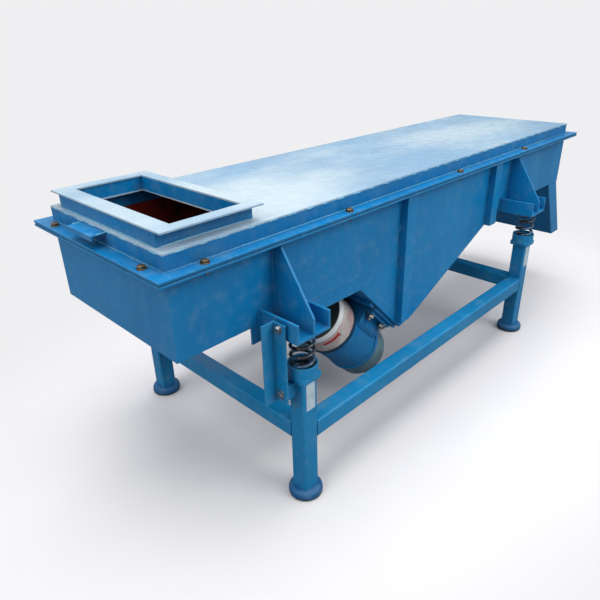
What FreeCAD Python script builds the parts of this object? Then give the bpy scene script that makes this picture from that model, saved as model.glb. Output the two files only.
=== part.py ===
import FreeCAD, Part
import Sketcher
import os
import re

# Linear vibrating sieve.  Millimetres, +Z up, origin at the middle of the footprint on the floor.
# +X runs from the feed end to the discharge end, and the near long side faces -Y.

DIMS = {
    # vibrating box, measured from the outer face of its feed end plate
    "feed_face": -1047, "box_length": 2000, "half_width": 255, "wall": 5,
    "pan_height": 505, "rim_height": 700, "pan_sheet": 4,
    # cover and flanged rim
    "rim_out": 36, "rim_sheet": 5, "gasket_sheet": 4, "cover_top": 752, "cover_sheet": 4,
    # inlet
    "neck_start": 12, "neck_length": 250, "neck_half": 217, "neck_sheet": 4,
    "mouth_start": 52, "mouth_length": 185, "mouth_half": 210,
    "inlet_start": 6, "inlet_length": 265, "inlet_half": 247, "inlet_top": 791,
    # hopper under the deck: the feed-side wall falls at 45 degrees
    "hopper_tip": 820, "tip_height": 253, "outlet": 72, "outlet_rise": 15,
    "hopper_end": 1424, "slope_sheet": 6, "hopper_sheet": 5,
    "skirt_start": 206, "skirt_drop": 46,
    # discharge spout
    "spout_start": 1915, "spout_gap": 80, "spout_foot": 2054, "spout_foot_gap": 76,
    "spout_height": 242, "spout_sheet": 4,
    # ribs on the side walls
    "rib_width": 45, "rib_depth": 24, "rib_sheet": 4,
    "rib_first": 795, "rib_first_foot": 285, "rib_second": 1336, "rib_second_foot": 470,
    # standing frame
    "leg_feed": 285, "leg_discharge": 1500, "leg_offset": 342, "tube": 50, "tube_wall": 4,
    "tube_round": 6, "leg_top": 372, "rail_height": 183, "foot_height": 28, "foot_radius": 46,
    # springs, their cups and the brackets over them
    "cup_plate": 12, "cup_half": 35, "cup_round": 12, "cup_wall_height": 29, "cup_radius": 38,
    "cup_bore": 34.5, "spring_radius": 28.5, "wire_radius": 4.5, "spring_turns": 4.5,
    "seat_height": 497, "seat_sheet": 6, "seat_half": 55, "seat_reach": 128, "seat_side": 50,
    "gusset_top": 692, "gusset_lip": 30, "gusset_low": 544, "stub_radius": 22, "stub_length": 15,
    # transport brace of angle iron
    "brace_leg": 40, "brace_sheet": 4, "brace_face": 224, "brace_inset": 58, "brace_foot": 322,
    "brace_head": 540, "brace_bolt_high": 526, "brace_bolt_low": 347, "brace_slot": 10, "brace_bolt_across": 333,
    # bolts
    "bolt_radius": 5, "bolt_hole": 5.1, "hex_radius": 9.5, "hex_height": 7,
    "bolt_first": 84, "bolt_second": 537, "bolt_third": 1088, "bolt_fourth": 1558,
    "bolt_across": 202,
    # cleat plate on the feed end
    "cleat_length": 115, "cleat_middle": 25, "cleat_drop": 6, "cleat_lip": 12, "cleat_sheet": 4,
    # screen deck
    "deck_height": 590, "ledge_width": 30, "ledge_sheet": 5, "deck_start": 300, "deck_end": 1440,
    "deck_half": 240, "bar_width": 30, "bar_height": 20, "cloth_sheet": 2, "plate_end": 1900,
    "plate_sheet": 4,
    # vibration motors, in the frame of the 45 degree hopper wall
    "slope_angle": 45, "motor_foot": 269, "motor_side": 120, "motor_drop": 110, "base_sheet": 12,
    "base_up": 110, "base_down": 80, "casing_radius": 90, "casing_wall": 9, "shield": 12,
    "casing_up": 84, "casing_down": 93, "flange_radius": 95, "flange_width": 12,
    "cap_radius": 92, "cap_sheet": 3, "cap_end": 166, "cap_round": 16,
    "foot_half_length": 62, "foot_half_width": 115, "foot_sheet": 11, "foot_bolt_along": 42,
    "foot_bolt_across": 102, "bearing_radius": 34, "shaft_radius": 15, "shaft_end": 156,
    "core_radius": 50, "core_half": 45, "weight_radius": 76, "weight_width": 18,
    "weight_near": 112, "weight_far": 118,
}

doc = FreeCAD.newDocument("vibrating_sieve")
sheet = doc.addObject("Spreadsheet::Sheet", "Dims")
for row, (word, size) in enumerate(DIMS.items(), start=1):
    sheet.set("A%d" % row, word)
    sheet.set("B%d" % row, str(size))
    sheet.setAlias("B%d" % row, word)
doc.recompute()

SIDES = {"near": -1, "far": 1}
nodes = []


def bound(text):
    """Point each dimension named in an expression at its cell of the sheet."""
    def cell(match):
        word = match.group(0)
        return "Dims." + word if word in DIMS else word
    return re.sub(r"[a-z_]+", cell, str(text))


def size(text):
    """The present value of an expression, for seeding sketches and for radii."""
    value = sheet.evalExpression(bound(text))
    return float(getattr(value, "Value", value))


def tie(item, **properties):
    """Bind properties of a document object to expressions."""
    for name, text in properties.items():
        item.setExpression(name, bound(text))


def place(item, x="0", y="0", z="0"):
    """Bind an object's position to expressions."""
    for axis, text in zip("xyz", (x, y, z)):
        item.setExpression("Placement.Base." + axis, bound(text))


def along(text):
    """An X position measured from the feed end plate."""
    return "feed_face + (%s)" % text


def keep(item, label):
    """Name a finished sub-part, which becomes a node of its own."""
    item.Label = label
    nodes.append(item)
    return item


def block(name, x, y, z, length, width, height):
    """A flat bar or plate as a bound box."""
    item = doc.addObject("Part::Box", name)
    tie(item, Length=length, Width=width, Height=height)
    place(item, x, y, z)
    return item


def rod(name, radius, height, x="0", y="0", z="0", direction=None):
    """A bound cylinder; direction turns it away from +Z."""
    item = doc.addObject("Part::Cylinder", name)
    if direction is not None:
        turn = FreeCAD.Rotation(FreeCAD.Vector(0, 0, 1), FreeCAD.Vector(*direction))
        item.Placement = FreeCAD.Placement(FreeCAD.Vector(), turn)
    tie(item, Radius=radius, Height=height)
    place(item, x, y, z)
    return item


def hexagon(name, x, y, z, direction=None):
    """A hexagon head or nut."""
    item = doc.addObject("Part::Prism", name)
    item.Polygon = 6
    if direction is not None:
        turn = FreeCAD.Rotation(FreeCAD.Vector(0, 0, 1), FreeCAD.Vector(*direction))
        item.Placement = FreeCAD.Placement(FreeCAD.Vector(), turn)
    tie(item, Circumradius="hex_radius", Height="hex_height")
    place(item, x, y, z)
    return item


def group(name, items):
    """Several separate solids in one node."""
    item = doc.addObject("Part::Compound", name)
    item.Links = items
    return item


def fuse(name, items):
    item = doc.addObject("Part::MultiFuse", name)
    item.Shapes = items
    return item


def cut(name, base, tool):
    item = doc.addObject("Part::Cut", name)
    item.Base = base
    item.Tool = tool
    return item


def new_body(name):
    return doc.addObject("PartDesign::Body", name)


def sketch_on(body, role, name):
    """An empty sketch on one of the body's own origin planes."""
    drawing = body.newObject("Sketcher::SketchObject", name)
    planes = [item for item in body.Origin.OriginFeatures if item.Role == role]
    drawing.AttachmentSupport = [(planes[0], "")]
    drawing.MapMode = "FlatFace"
    return drawing


def pin(drawing, vertex, axis, text):
    """Hold one coordinate of a sketch vertex at an expression."""
    geometry, end = vertex
    kind, axis_line = ("DistanceX", -2) if axis == 0 else ("DistanceY", -1)
    value = size(text)
    if abs(value) < 1e-9:
        drawing.addConstraint(Sketcher.Constraint("PointOnObject", geometry, end, axis_line))
        return
    index = drawing.addConstraint(Sketcher.Constraint(kind, -1, 1, geometry, end, value))
    drawing.setExpression("Constraints[%d]" % index, bound(text))


def outline(drawing, points):
    """A closed outline of straight lines through bound points."""
    corners = [FreeCAD.Vector(size(u), size(v), 0) for u, v in points]
    first = drawing.GeometryCount
    count = len(points)
    for step in range(count):
        line = Part.LineSegment(corners[step], corners[(step + 1) % count])
        drawing.addGeometry(line, False)
    for step in range(count):
        following = first + (step + 1) % count
        drawing.addConstraint(Sketcher.Constraint("Coincident", first + step, 2, following, 1))
    for step, (u, v) in enumerate(points):
        pin(drawing, (first + step, 1), 0, u)
        pin(drawing, (first + step, 1), 1, v)


def circle(drawing, u, v, radius):
    """A bound circle."""
    centre = FreeCAD.Vector(size(u), size(v), 0)
    index = drawing.addGeometry(Part.Circle(centre, FreeCAD.Vector(0, 0, 1), size(radius)), False)
    pin(drawing, (index, 3), 0, u)
    pin(drawing, (index, 3), 1, v)
    held = drawing.addConstraint(Sketcher.Constraint("Radius", index, size(radius)))
    drawing.setExpression("Constraints[%d]" % held, bound(radius))


def pad(body, drawing, length, reverse=False, middle=False):
    feature = body.newObject("PartDesign::Pad", drawing.Name + "_pad")
    feature.Profile = drawing
    feature.Reversed = reverse
    feature.Midplane = middle
    tie(feature, Length=length)
    return feature


def revolve(body, drawing, axis):
    feature = body.newObject("PartDesign::Revolution", drawing.Name + "_turn")
    feature.Profile = drawing
    feature.ReferenceAxis = (drawing, [axis])
    feature.Angle = 360
    return feature


def upright_plate(name, points, y, thickness):
    """A plate whose outline lies in X and Z; y is its face nearer -Y."""
    body = new_body(name)
    drawing = sketch_on(body, "XZ_Plane", name + "_outline")
    outline(drawing, points)
    pad(body, drawing, thickness, reverse=True)
    place(body, "feed_face", y, "0")
    return body


def level_plate(name, rectangles, z, thickness):
    """A flat sheet: the first rectangle is its edge, the others are holes in it."""
    body = new_body(name)
    drawing = sketch_on(body, "XY_Plane", name + "_outline")
    for x0, x1, y0, y1 in rectangles:
        outline(drawing, [(x0, y0), (x1, y0), (x1, y1), (x0, y1)])
    pad(body, drawing, thickness)
    place(body, "feed_face", "0", z)
    return body


def mitred_ring(name, outer, inner, z, height):
    """Four mitred strips round the box; outer and inner are measured out from its side plates."""
    strips = []
    ways = (("near", "box_length / 2", "half_width", 0), ("discharge", "half_width", "box_length / 2", 90),
            ("far", "box_length / 2", "half_width", 180), ("feed", "half_width", "box_length / 2", 270))
    for way, reach, depth, turn in ways:
        strip = doc.addObject("Part::Wedge", "%s_%s" % (name, way))
        rotation = FreeCAD.Rotation(FreeCAD.Vector(0, 0, 1), turn)
        strip.Placement = FreeCAD.Placement(FreeCAD.Vector(), rotation)
        tie(strip, Xmin="-(%s) - (%s)" % (reach, outer), Xmax="%s + %s" % (reach, outer),
            X2min="-(%s) - (%s)" % (reach, inner), X2max="%s + %s" % (reach, inner),
            Ymin="-(%s) - (%s)" % (depth, outer), Ymax="-(%s) - (%s)" % (depth, inner),
            Zmin="0", Z2min="0", Zmax=height, Z2max=height)
        place(strip, along("box_length / 2"), "0", z)
        strips.append(strip)
    return strips


def bolt_places():
    """The flange bolts: along both sides, and across both ends."""
    places = []
    for side in ("-", ""):
        for word in ("bolt_first", "bolt_second", "bolt_third", "bolt_fourth"):
            places.append((word, side + "(half_width + rim_out / 2)"))
        places.append(("-rim_out / 2", side + "bolt_across"))
        places.append(("box_length + rim_out / 2", side + "bolt_across"))
    return places


def side_plates():
    skirts = []
    for side, sign in SIDES.items():
        face = "-half_width" if sign < 0 else "half_width - wall"
        keep(block("SidePlate_" + side, along("0"), face, "pan_height", "box_length", "wall",
                   "rim_height - pan_height"), "side_plate_" + side)
        slope = "(pan_height - tip_height)"
        hopper = [("hopper_tip - %s" % slope, "pan_height"), ("hopper_tip", "tip_height"),
                  ("hopper_tip + outlet", "tip_height + outlet_rise"), ("hopper_end", "pan_height")]
        keep(upright_plate("HopperSide_" + side, hopper, face, "wall"), "hopper_side_" + side)
        skirt = [("skirt_start", "pan_height"), ("skirt_start", "pan_height - skirt_drop"),
                 ("hopper_tip - %s + skirt_drop" % slope, "pan_height - skirt_drop"),
                 ("hopper_tip - %s" % slope, "pan_height")]
        skirts.append(upright_plate("Skirt_" + side, skirt, face, "wall"))
    keep(group("Skirts", skirts), "side_skirts")


def box_ends_and_pan():
    inside = "2 * (half_width - wall)"
    low = "-(half_width - wall)"
    tall = "rim_height - pan_height"
    keep(block("FeedEnd", along("0"), low, "pan_height", "wall", inside, tall), "feed_end_plate")
    keep(block("DischargeEnd", along("box_length - wall"), low, "pan_height", "wall", inside, tall),
         "discharge_end_plate")
    slope_top = "hopper_tip - pan_height + tip_height"
    keep(block("PanFeed", along("wall"), low, "pan_height", slope_top + " - wall", inside,
               "pan_sheet"), "pan_feed")
    keep(block("PanDischarge", along("hopper_end"), low, "pan_height",
               "spout_start - hopper_end", inside, "pan_sheet"), "pan_discharge")


def hopper_plates():
    inside = "2 * (half_width - wall)"
    low = "-(half_width - wall)"
    slope_top = "hopper_tip - pan_height + tip_height"
    shift = "slope_sheet / sin(slope_angle)"
    steep = [(slope_top, "pan_height"), ("hopper_tip", "tip_height"),
             ("hopper_tip + " + shift, "tip_height"), (slope_top + " + " + shift, "pan_height")]
    keep(upright_plate("HopperFeed", steep, low, inside), "hopper_plate_feed")
    foot = "hopper_tip + outlet"
    foot_height = "tip_height + outlet_rise"
    lean = "hopper_sheet / sin(atan((pan_height - %s) / (hopper_end - %s)))" % (
        "(" + foot_height + ")", "(" + foot + ")")
    shallow = [(foot + " - " + lean, foot_height), (foot, foot_height),
               ("hopper_end", "pan_height"), ("hopper_end - " + lean, "pan_height")]
    keep(upright_plate("HopperDischarge", shallow, low, inside), "hopper_plate_discharge")


def spout():
    """A chute of four plates that leans out past the discharge end."""
    back_top, front_top = "spout_start", "spout_start + spout_gap"
    back_foot, front_foot = "spout_foot", "spout_foot + spout_foot_gap"
    cheek = [(back_top, "pan_height"), (back_foot, "spout_height"),
             (front_foot, "spout_height"), (front_top, "pan_height")]
    plates = [upright_plate("SpoutCheek_near", cheek, "-half_width", "wall"),
              upright_plate("SpoutCheek_far", cheek, "half_width - wall", "wall")]
    inside = "2 * (half_width - wall)"
    low = "-(half_width - wall)"
    back = [(back_top, "pan_height"), (back_foot, "spout_height"),
            (back_foot + " + spout_sheet", "spout_height"),
            (back_top + " + spout_sheet", "pan_height")]
    front = [(front_top + " - spout_sheet", "pan_height"),
             (front_foot + " - spout_sheet", "spout_height"),
             (front_foot, "spout_height"), (front_top, "pan_height")]
    plates.append(upright_plate("SpoutBack", back, low, inside))
    plates.append(upright_plate("SpoutFront", front, low, inside))
    keep(group("DischargeSpout", plates), "discharge_spout")


def side_ribs():
    """Folded channels welded to the side plates with their open side inwards."""
    ribs = []
    half = "rib_width / 2"
    profile = [("-" + half, "0"), ("-" + half, "-rib_depth"), (half, "-rib_depth"), (half, "0"),
               (half + " - rib_sheet", "0"), (half + " - rib_sheet", "rib_sheet - rib_depth"),
               ("rib_sheet - " + half, "rib_sheet - rib_depth"), ("rib_sheet - " + half, "0")]
    for side, sign in SIDES.items():
        for which in ("rib_first", "rib_second"):
            rib = new_body("Rib_%s_%s" % (which, side))
            drawing = sketch_on(rib, "XY_Plane", rib.Name + "_section")
            outline(drawing, profile)
            pad(rib, drawing, "rim_height - %s_foot" % which)
            turn_to_side(rib, sign)
            place(rib, along(which + " + rib_width / 2"), side_face(sign), which + "_foot")
            ribs.append(rib)
    keep(group("SideRibs", ribs), "side_ribs")


def turn_to_side(item, sign):
    """Turn a piece drawn for the near side half round for the far side."""
    if sign > 0:
        half_turn = FreeCAD.Rotation(FreeCAD.Vector(0, 0, 1), 180)
        item.Placement = FreeCAD.Placement(FreeCAD.Vector(), half_turn)


def side_face(sign):
    return "-half_width" if sign < 0 else "half_width"


def rim_and_cover():
    """The flanged rim, its gasket, and the cover with its mitred angle rim."""
    stack = "rim_height + rim_sheet + gasket_sheet"
    holes = [rod("BoltHole", "bolt_hole", "3 * rim_sheet + gasket_sheet", along(x), y,
                 "rim_height - rim_sheet / 2") for x, y in bolt_places()]
    tool = fuse("BoltHoles", holes)
    flange = mitred_ring("BoxFlange", "rim_out", "-wall", "rim_height", "rim_sheet")
    keep(group("BoxRim", [cut(strip.Name + "_drilled", strip, tool) for strip in flange]),
         "box_rim_flange")
    seal = mitred_ring("Seal", "rim_out - 2", "-wall", "rim_height + rim_sheet", "gasket_sheet")
    keep(group("RimSeal", [cut(strip.Name + "_drilled", strip, tool) for strip in seal]),
         "rim_gasket")
    lying = mitred_ring("CoverFlange", "rim_out", "-wall", stack, "rim_sheet")
    standing = mitred_ring("CoverSkirt", "0", "-wall", stack + " + rim_sheet",
                           "cover_top - cover_sheet - (%s) - rim_sheet" % stack)
    angles = []
    for low_leg, high_leg in zip(lying, standing):
        angle = fuse(low_leg.Name + "_angle", [low_leg, high_leg])
        angles.append(cut(low_leg.Name + "_drilled", angle, tool))
    keep(group("CoverRim", angles), "cover_rim")
    mouth_end = "mouth_start + mouth_length"
    keep(level_plate("CoverSheet", [("0", "box_length", "-half_width", "half_width"),
                                    ("mouth_start", mouth_end, "-mouth_half", "mouth_half")],
                     "cover_top - cover_sheet", "cover_sheet"), "cover_sheet")
    bolts = []
    for number, (x, y) in enumerate(bolt_places()):
        top = stack + " + rim_sheet"
        parts = [hexagon("BoltHead%d" % number, along(x), y, top),
                 hexagon("BoltNut%d" % number, along(x), y, "rim_height - hex_height"),
                 rod("BoltShank%d" % number, "bolt_radius", "3 * rim_sheet + gasket_sheet",
                     along(x), y, "rim_height - rim_sheet / 2")]
        bolts.append(fuse("RimBolt%d" % number, parts))
    keep(group("RimBolts", bolts), "rim_bolts")


def inlet():
    """The feed mouth: a welded neck of plates and a flat flange frame on top."""
    height = "inlet_top - neck_sheet - cover_top"
    neck_end = "neck_start + neck_length"
    walls = []
    for side, sign in SIDES.items():
        face = "-neck_half" if sign < 0 else "neck_half - neck_sheet"
        walls.append(block("NeckWall_" + side, along("neck_start"), face, "cover_top",
                           "neck_length", "neck_sheet", height))
    crosswise = {"Feed": "neck_start", "Discharge": neck_end + " - neck_sheet",
                 "LinerFeed": "mouth_start - neck_sheet",
                 "LinerDischarge": "mouth_start + mouth_length"}
    for word, x in crosswise.items():
        walls.append(block("NeckWall" + word, along(x), "-(neck_half - neck_sheet)", "cover_top",
                           "neck_sheet", "2 * (neck_half - neck_sheet)", height))
    keep(group("InletNeck", walls), "inlet_neck")
    level = "inlet_top - neck_sheet"
    bars = []
    for side, sign in SIDES.items():
        face = "-inlet_half" if sign < 0 else "mouth_half"
        bars.append(block("InletBar_" + side, along("inlet_start"), face, level, "inlet_length",
                          "inlet_half - mouth_half", "neck_sheet"))
    mouth_end = "mouth_start + mouth_length"
    bars.append(block("InletBar_feed", along("inlet_start"), "-mouth_half", level,
                      "mouth_start - inlet_start", "2 * mouth_half", "neck_sheet"))
    bars.append(block("InletBar_discharge", along(mouth_end), "-mouth_half", level,
                      "inlet_start + inlet_length - (%s)" % mouth_end, "2 * mouth_half",
                      "neck_sheet"))
    keep(group("InletFlange", bars), "inlet_flange")


def cleat():
    """A folded cleat plate on the cover's skirt at the feed end."""
    body = new_body("Cleat")
    drawing = sketch_on(body, "XZ_Plane", "Cleat_section")
    outline(drawing, [("-rim_out", "-cleat_lip"), ("cleat_sheet - rim_out", "-cleat_lip"),
                      ("cleat_sheet - rim_out", "-cleat_sheet"), ("0", "-cleat_sheet"),
                      ("0", "0"), ("-rim_out", "0")])
    pad(body, drawing, "cleat_length", middle=True)
    place(body, along("0"), "cleat_middle", "cover_top - cleat_drop")
    keep(body, "cover_cleat")


def square_tube(name, length, x, y, z, direction):
    """Square tube from x, y, z along a direction, centred on its line."""
    body = new_body(name)
    drawing = sketch_on(body, "XY_Plane", name + "_section")
    half, bore = "tube / 2", "(tube / 2 - tube_wall)"
    outline(drawing, [("-" + half, "-" + half), (half, "-" + half), (half, half), ("-" + half, half)])
    outline(drawing, [("-" + bore, "-" + bore), (bore, "-" + bore), (bore, bore), ("-" + bore, bore)])
    run = pad(body, drawing, length)
    doc.recompute()
    reach = size("tube") / 2
    corners = []
    for number, edge in enumerate(run.Shape.Edges, start=1):
        middle = edge.CenterOfMass
        if min(abs(abs(middle.x) - reach), abs(abs(middle.y) - reach)) < 0.01:
            if abs(abs(middle.x) - abs(middle.y)) < 0.01:
                corners.append("Edge%d" % number)
    rounding = body.newObject("PartDesign::Fillet", name + "_corners")
    rounding.Base = (run, corners)
    tie(rounding, Radius="tube_round")
    turn = FreeCAD.Rotation(FreeCAD.Vector(0, 0, 1), FreeCAD.Vector(*direction))
    body.Placement = FreeCAD.Placement(FreeCAD.Vector(), turn)
    place(body, x, y, z)
    return body


def standing_frame():
    ends = {"feed": "leg_feed", "discharge": "leg_discharge"}
    feet, cups = [], []
    for end, leg_x in ends.items():
        for side, sign in SIDES.items():
            y = "%d * leg_offset" % sign
            name = "%s_%s" % (end, side)
            keep(square_tube("Leg_" + name, "leg_top - foot_height", along(leg_x), y,
                             "foot_height", (0, 0, 1)), "leg_" + name)
            feet.append(foot("Foot_" + name, along(leg_x), y))
            cups += spring_cup("Cup_" + name, along(leg_x), y)
            keep(spring("Spring_" + name, along(leg_x), y), "spring_" + name)
    keep(group("Feet", feet), "feet")
    keep(group("SpringCups", cups), "spring_cups")
    middle = "rail_height + tube / 2"
    for side, sign in SIDES.items():
        keep(square_tube("Rail_" + side, "leg_discharge - leg_feed - tube",
                         along("leg_feed + tube / 2"), "%d * leg_offset" % sign, middle, (1, 0, 0)),
             "rail_" + side)
    for end, leg_x in ends.items():
        keep(square_tube("Rail_" + end, "2 * leg_offset - tube", along(leg_x),
                         "tube / 2 - leg_offset", middle, (0, 1, 0)), "rail_" + end)


def round_rim(body, feature, axis, level, radius):
    """Round the edges of a feature that lie in one plane across an axis."""
    doc.recompute()
    index = "xyz".index(axis)
    height = size(level)
    names = []
    for number, edge in enumerate(feature.Shape.Edges, start=1):
        box = edge.BoundBox
        low, high = (box.XMin, box.YMin, box.ZMin)[index], (box.XMax, box.YMax, box.ZMax)[index]
        if abs(low - height) < 0.01 and abs(high - height) < 0.01:
            names.append("Edge%d" % number)
    rounding = body.newObject("PartDesign::Fillet", "%s_round%d" % (body.Name, len(body.Group)))
    rounding.Base = (feature, names)
    tie(rounding, Radius=radius)
    return rounding


def foot(name, x, y):
    """A round foot with bulging sides."""
    body = new_body(name)
    drawing = sketch_on(body, "XY_Plane", name + "_disc")
    circle(drawing, "0", "0", "foot_radius")
    disc = pad(body, drawing, "foot_height")
    top = round_rim(body, disc, "z", "foot_height", "foot_height / 2")
    round_rim(body, top, "z", "0", "foot_height / 4")
    place(body, x, y, "0")
    return body


def spring_cup(name, x, y):
    """The leg's cap plate, and the ring on it that holds the foot of the spring."""
    plate = new_body(name + "_plate")
    drawing = sketch_on(plate, "XY_Plane", name + "_outline")
    outline(drawing, [("-cup_half", "-cup_half"), ("cup_half", "-cup_half"),
                      ("cup_half", "cup_half"), ("-cup_half", "cup_half")])
    square = pad(plate, drawing, "cup_plate")
    doc.recompute()
    names = ["Edge%d" % number for number, edge in enumerate(square.Shape.Edges, start=1)
             if edge.BoundBox.ZLength > 1]
    corners = plate.newObject("PartDesign::Fillet", name + "_corners")
    corners.Base = (square, names)
    tie(corners, Radius="cup_round")
    place(plate, x, y, "leg_top")
    ring = new_body(name + "_ring")
    drawing = sketch_on(ring, "XY_Plane", name + "_circles")
    circle(drawing, "0", "0", "cup_radius")
    circle(drawing, "0", "0", "cup_bore")
    pad(ring, drawing, "cup_wall_height")
    place(ring, x, y, "leg_top + cup_plate")
    return [plate, ring]


def spring(name, x, y):
    """A compression spring of round wire, standing in the cup under the bracket."""
    coil = doc.addObject("Part::Helix", name + "_coil")
    tall = "seat_height - leg_top - cup_plate - 2 * wire_radius - 0.4"
    tie(coil, Pitch="(%s) / spring_turns" % tall, Height=tall, Radius="spring_radius")
    wire = doc.addObject("Part::Circle", name + "_wire")
    turn = FreeCAD.Rotation(FreeCAD.Vector(1, 0, 0), 90)
    wire.Placement = FreeCAD.Placement(FreeCAD.Vector(), turn)
    tie(wire, Radius="wire_radius")
    place(wire, "spring_radius", "0", "0")
    sweep = doc.addObject("Part::Sweep", name)
    sweep.Sections = [wire]
    sweep.Spine = (coil, ["Edge1"])
    sweep.Solid = True
    sweep.Frenet = True
    place(sweep, x, y, "leg_top + cup_plate + wire_radius + 0.2")
    return sweep


def spring_bracket(name, leg_x, sign, slotted):
    """A gusset plate standing in a seat channel, with the spring's guide stub underneath."""
    body = new_body(name)
    channel = sketch_on(body, "XZ_Plane", name + "_channel")
    inner = "seat_half - seat_sheet"
    outline(channel, [("-seat_half", "0"), ("seat_half", "0"), ("seat_half", "seat_side"),
                      (inner, "seat_side"), (inner, "seat_sheet"), ("-(%s)" % inner, "seat_sheet"),
                      ("-(%s)" % inner, "seat_side"), ("-seat_half", "seat_side")])
    pad(body, channel, "seat_reach")
    web = sketch_on(body, "YZ_Plane", name + "_gusset")
    outline(web, [("0", "0"), ("-seat_reach", "0"), ("-seat_reach", "gusset_low - seat_height"),
                  ("-gusset_lip", "gusset_top - seat_height"), ("0", "gusset_top - seat_height")])
    pad(body, web, "seat_sheet", middle=True)
    stub = sketch_on(body, "XY_Plane", name + "_stub")
    circle(stub, "0", "half_width - leg_offset", "stub_radius")
    pad(body, stub, "stub_length", reverse=True)
    if slotted:
        slot = sketch_on(body, "YZ_Plane", name + "_slot")
        circle(slot, "half_width - brace_bolt_across", "brace_bolt_high - seat_height", "brace_slot")
        doc.recompute()
        solid_before = body.Shape.Volume
        opening = body.newObject("PartDesign::Pocket", name + "_opening")
        opening.Profile = slot
        opening.Reversed = sign < 0
        tie(slot, **{"AttachmentOffset.Base.z": "%d * (%s - 1)" % (sign, inner)})
        opening.Reversed = sign > 0
        tie(opening, Length="seat_sheet + 2")
        doc.recompute()
        if body.Shape.Volume > solid_before - 100:
            raise RuntimeError("the brace slot of %s cuts nothing" % name)
    turn_to_side(body, sign)
    place(body, along(leg_x), side_face(sign), "seat_height")
    return body


def brackets():
    for end, leg_x in (("feed", "leg_feed"), ("discharge", "leg_discharge")):
        for side, sign in SIDES.items():
            name = "%s_%s" % (end, side)
            keep(spring_bracket("Bracket_" + name, leg_x, sign, end == "feed"),
                 "spring_bracket_" + name)


def transport_braces():
    """Angle irons that tie the box to the legs for transport, shown with the lock released."""
    bolts, irons = [], []
    for side, sign in SIDES.items():
        corner = "(half_width + brace_inset)"
        outer = "(half_width + brace_inset + brace_leg)"
        points = [("brace_face", corner), ("brace_face", outer),
                  ("brace_face - brace_sheet", outer),
                  ("brace_face - brace_sheet", corner + " + brace_sheet"),
                  ("brace_face - brace_leg", corner + " + brace_sheet"),
                  ("brace_face - brace_leg", corner)]
        body = new_body("BraceAngle_" + side)
        drawing = sketch_on(body, "XY_Plane", body.Name + "_section")
        outline(drawing, [(u, "%d * %s" % (sign, "(" + v + ")")) for u, v in points])
        pad(body, drawing, "brace_head - brace_foot")
        place(body, "feed_face", "0", "brace_foot")
        tab = block("BraceTab_" + side, along("brace_face"),
                    "%d * brace_bolt_across - 10" % sign, "brace_bolt_low - 20",
                    "leg_feed - tube / 2 - brace_face", "20", "40")
        whole = fuse("Brace_" + side, [body, tab])
        y = "%d * brace_bolt_across" % sign
        holes = [rod("BraceHole%d_%s" % (number, side), "bolt_hole", "brace_sheet + 2",
                     along("brace_face - brace_sheet - 1"), y, level, (1, 0, 0))
                 for number, level in enumerate(("brace_bolt_high", "brace_bolt_low"))]
        irons.append(cut("BraceDrilled_" + side, whole, fuse("BraceHoles_" + side, holes)))
        head = along("brace_face - brace_sheet - hex_height")
        high = [hexagon("BraceHead_" + side, head, y, "brace_bolt_high", (1, 0, 0)),
                rod("BraceShank_" + side, "bolt_radius", "48", head, y, "brace_bolt_high", (1, 0, 0)),
                hexagon("BraceNut_" + side, along("brace_face + 24"), y, "brace_bolt_high",
                        (1, 0, 0))]
        low = [hexagon("TabHead_" + side, head, y, "brace_bolt_low", (1, 0, 0)),
               rod("TabShank_" + side, "bolt_radius", "hex_height + brace_sheet", head, y,
                   "brace_bolt_low", (1, 0, 0))]
        bolts.append(fuse("BraceBoltHigh_" + side, high))
        bolts.append(fuse("BraceBoltLow_" + side, low))
    keep(group("TransportBraces", irons), "transport_braces")
    keep(group("BraceBolts", bolts), "brace_bolts")


def deck():
    """Ledges, blind plates at both ends, and the screen frame with its cloth."""
    inside = "(half_width - wall)"
    ledges = []
    for side, sign in SIDES.items():
        face = "-" + inside if sign < 0 else inside + " - ledge_width"
        ledges.append(block("Ledge_" + side, along("wall"), face, "deck_height",
                            "plate_end - wall", "ledge_width", "ledge_sheet"))
    keep(group("DeckLedges", ledges), "deck_ledges")
    top = "deck_height + ledge_sheet"
    blind = [block("FeedPlate", along("wall"), "-deck_half", top, "deck_start - wall",
                   "2 * deck_half", "plate_sheet"),
             block("OversizePlate", along("deck_end"), "-deck_half", top, "plate_end - deck_end",
                   "2 * deck_half", "plate_sheet")]
    keep(group("BlindPlates", blind), "deck_end_plates")
    bars = []
    for side, sign in SIDES.items():
        face = "-deck_half" if sign < 0 else "deck_half - bar_width"
        bars.append(block("FrameBar_" + side, along("deck_start"), face, top,
                          "deck_end - deck_start", "bar_width", "bar_height"))
    crossings = 6
    for number in range(crossings):
        x = "deck_start + %d * (deck_end - deck_start - bar_width) / %d" % (number, crossings - 1)
        bars.append(block("CrossBar%d" % number, along(x), "bar_width - deck_half", top,
                          "bar_width", "2 * (deck_half - bar_width)", "bar_height"))
    keep(group("ScreenFrame", bars), "screen_frame")
    keep(block("ScreenCloth", along("deck_start"), "-deck_half", top + " + bar_height",
               "deck_end - deck_start", "2 * deck_half", "cloth_sheet"), "screen_cloth")


def on_slope(item, u, y, w):
    """Place a piece by its distance down the steep hopper wall, and out from it (w < 0)."""
    item.Placement = FreeCAD.Placement(FreeCAD.Vector(), slope_turn())
    top = "hopper_tip - pan_height + tip_height"
    place(item,
          along("%s + (motor_foot + %s) * cos(slope_angle) + (%s) * sin(slope_angle)" % (top, u, w)),
          y,
          "pan_height - (motor_foot + %s) * sin(slope_angle) + (%s) * cos(slope_angle)" % (u, w))


def slope_turn():
    return FreeCAD.Rotation(FreeCAD.Vector(0, 1, 0), size("slope_angle"))


def turned(name, profile):
    """A body turned about its own X axis from a profile of distance along and radius."""
    body = new_body(name)
    drawing = sketch_on(body, "XZ_Plane", name + "_profile")
    outline(drawing, profile)
    return body, revolve(body, drawing, "H_Axis")


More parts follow.
